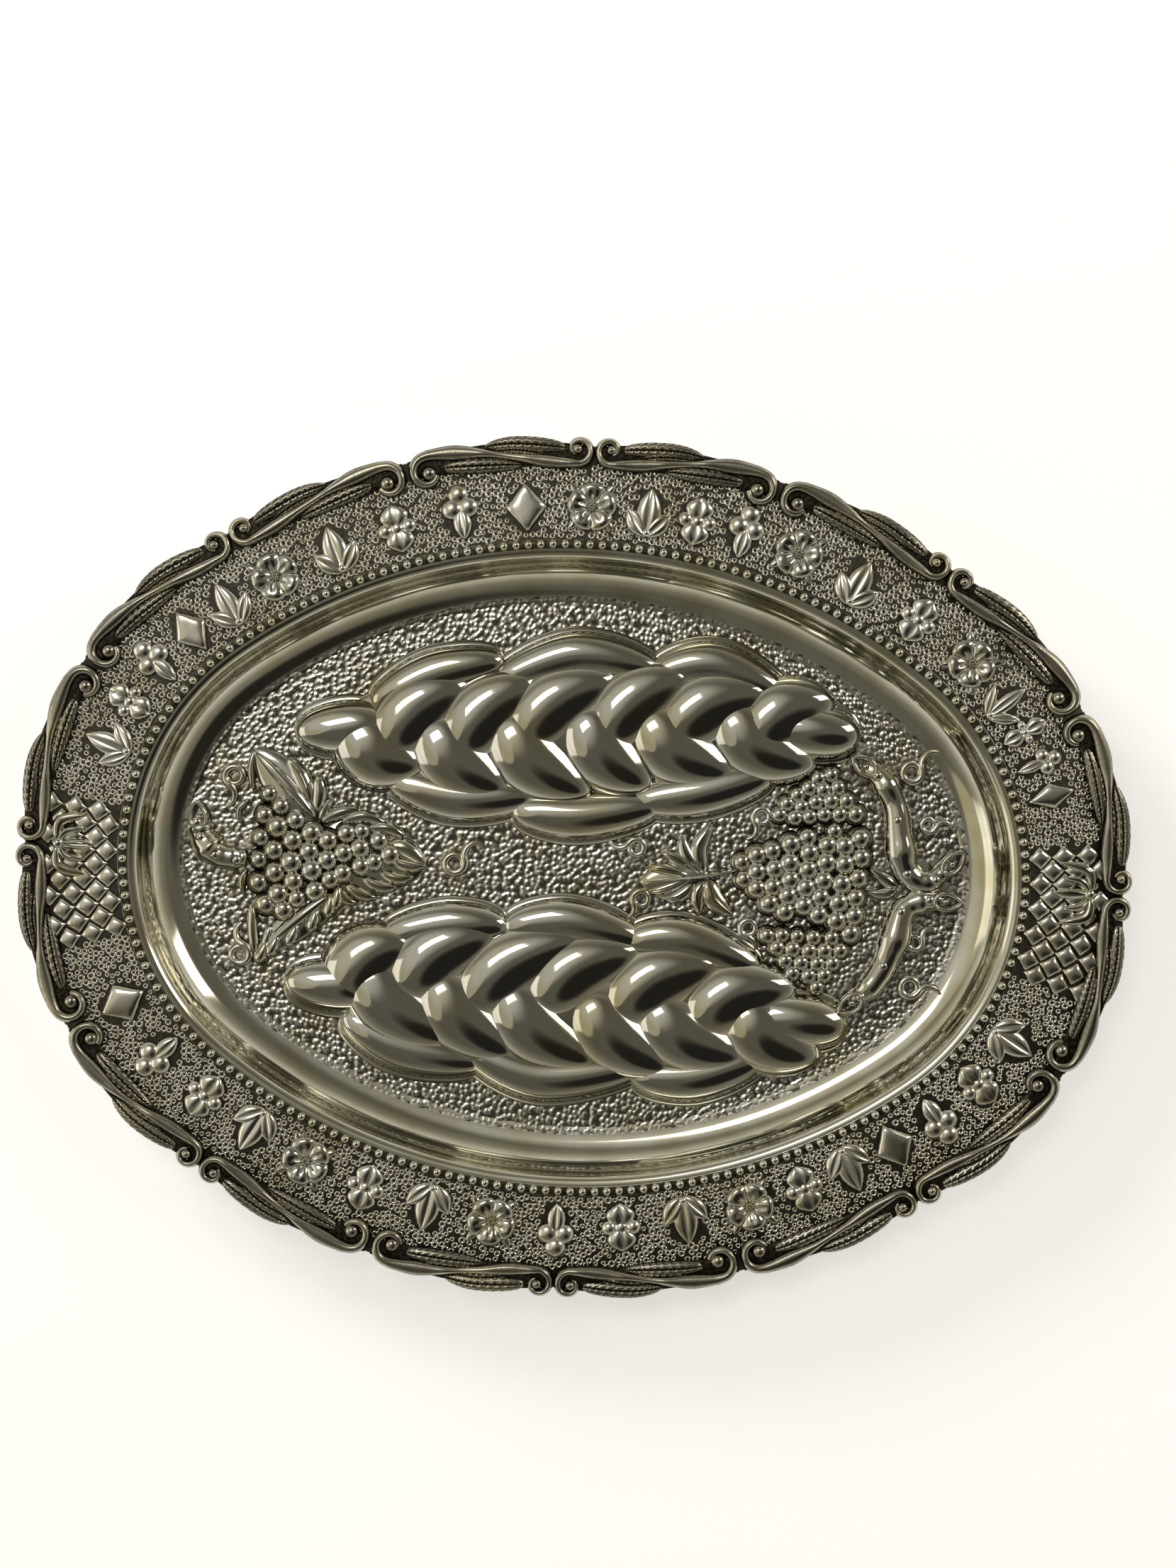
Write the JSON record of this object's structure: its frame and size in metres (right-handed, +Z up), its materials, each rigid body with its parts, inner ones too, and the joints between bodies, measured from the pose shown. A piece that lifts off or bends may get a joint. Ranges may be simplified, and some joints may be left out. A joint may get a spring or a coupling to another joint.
{
  "type": "challah tray",
  "caption": "Oval silver bread tray with a sunk well, a scrolled border, and plaited loaves, grape vines and rim ornaments in relief.",
  "frame": {"origin": "under the middle of the tray's floor, at the height of the table", "axes": "+X along the long side to the right, +Y across the tray, +Z up out of the well"},
  "size_m": [0.406, 0.313, 0.0204],
  "materials": {
    "sheet_silver": "polished cove, hammered floor and ring-punched rim with darkened hollows",
    "polished_silver": "polished high points with darkened hollows",
    "cast_silver": "polished rails over darkened hollows"
  },
  "bodies": {
    "root": {"tray_sheet": "sheet_silver", "bead_wire": "polished_silver", "upper_loaf": "polished_silver", "lower_loaf": "polished_silver", "border_section_1": "cast_silver", "border_section_2": "cast_silver", "border_section_3": "cast_silver", "border_section_4": "cast_silver", "border_section_5": "cast_silver", "border_section_6": "cast_silver", "border_section_7": "cast_silver", "border_section_8": "cast_silver", "border_section_9": "cast_silver", "border_section_10": "cast_silver", "border_section_11": "cast_silver", "border_section_12": "cast_silver", "border_section_13": "cast_silver", "border_section_14": "cast_silver", "border_section_15": "cast_silver", "border_section_16": "cast_silver", "rim_flower_1": "polished_silver", "rim_flower_2": "polished_silver", "rim_flower_3": "polished_silver", "rim_flower_4": "polished_silver", "rim_flower_5": "polished_silver", "rim_flower_6": "polished_silver", "rim_flower_7": "polished_silver", "rim_ornaments_1": "polished_silver", "rim_ornaments_2": "polished_silver", "rim_ornaments_3": "polished_silver", "rim_ornaments_4": "polished_silver", "rim_ornaments_5": "polished_silver", "rim_ornaments_6": "polished_silver", "rim_ornaments_7": "polished_silver", "rim_ornaments_8": "polished_silver", "rim_ornaments_9": "polished_silver", "left_lattice": "polished_silver", "right_lattice": "polished_silver", "left_posy": "polished_silver", "right_posy": "polished_silver", "left_leaf_top": "polished_silver", "left_leaf_side": "polished_silver", "left_leaf_bottom": "polished_silver", "left_stem": "polished_silver", "left_tendrils": "polished_silver", "right_leaf": "polished_silver", "right_bracts": "polished_silver", "upper_branch": "polished_silver", "lower_branch": "polished_silver", "right_tendrils": "polished_silver", "left_bunch": "polished_silver", "right_bunch": "polished_silver", "upper_bunch": "polished_silver", "lower_bunch": "polished_silver"}
  },
  "joints": []
}
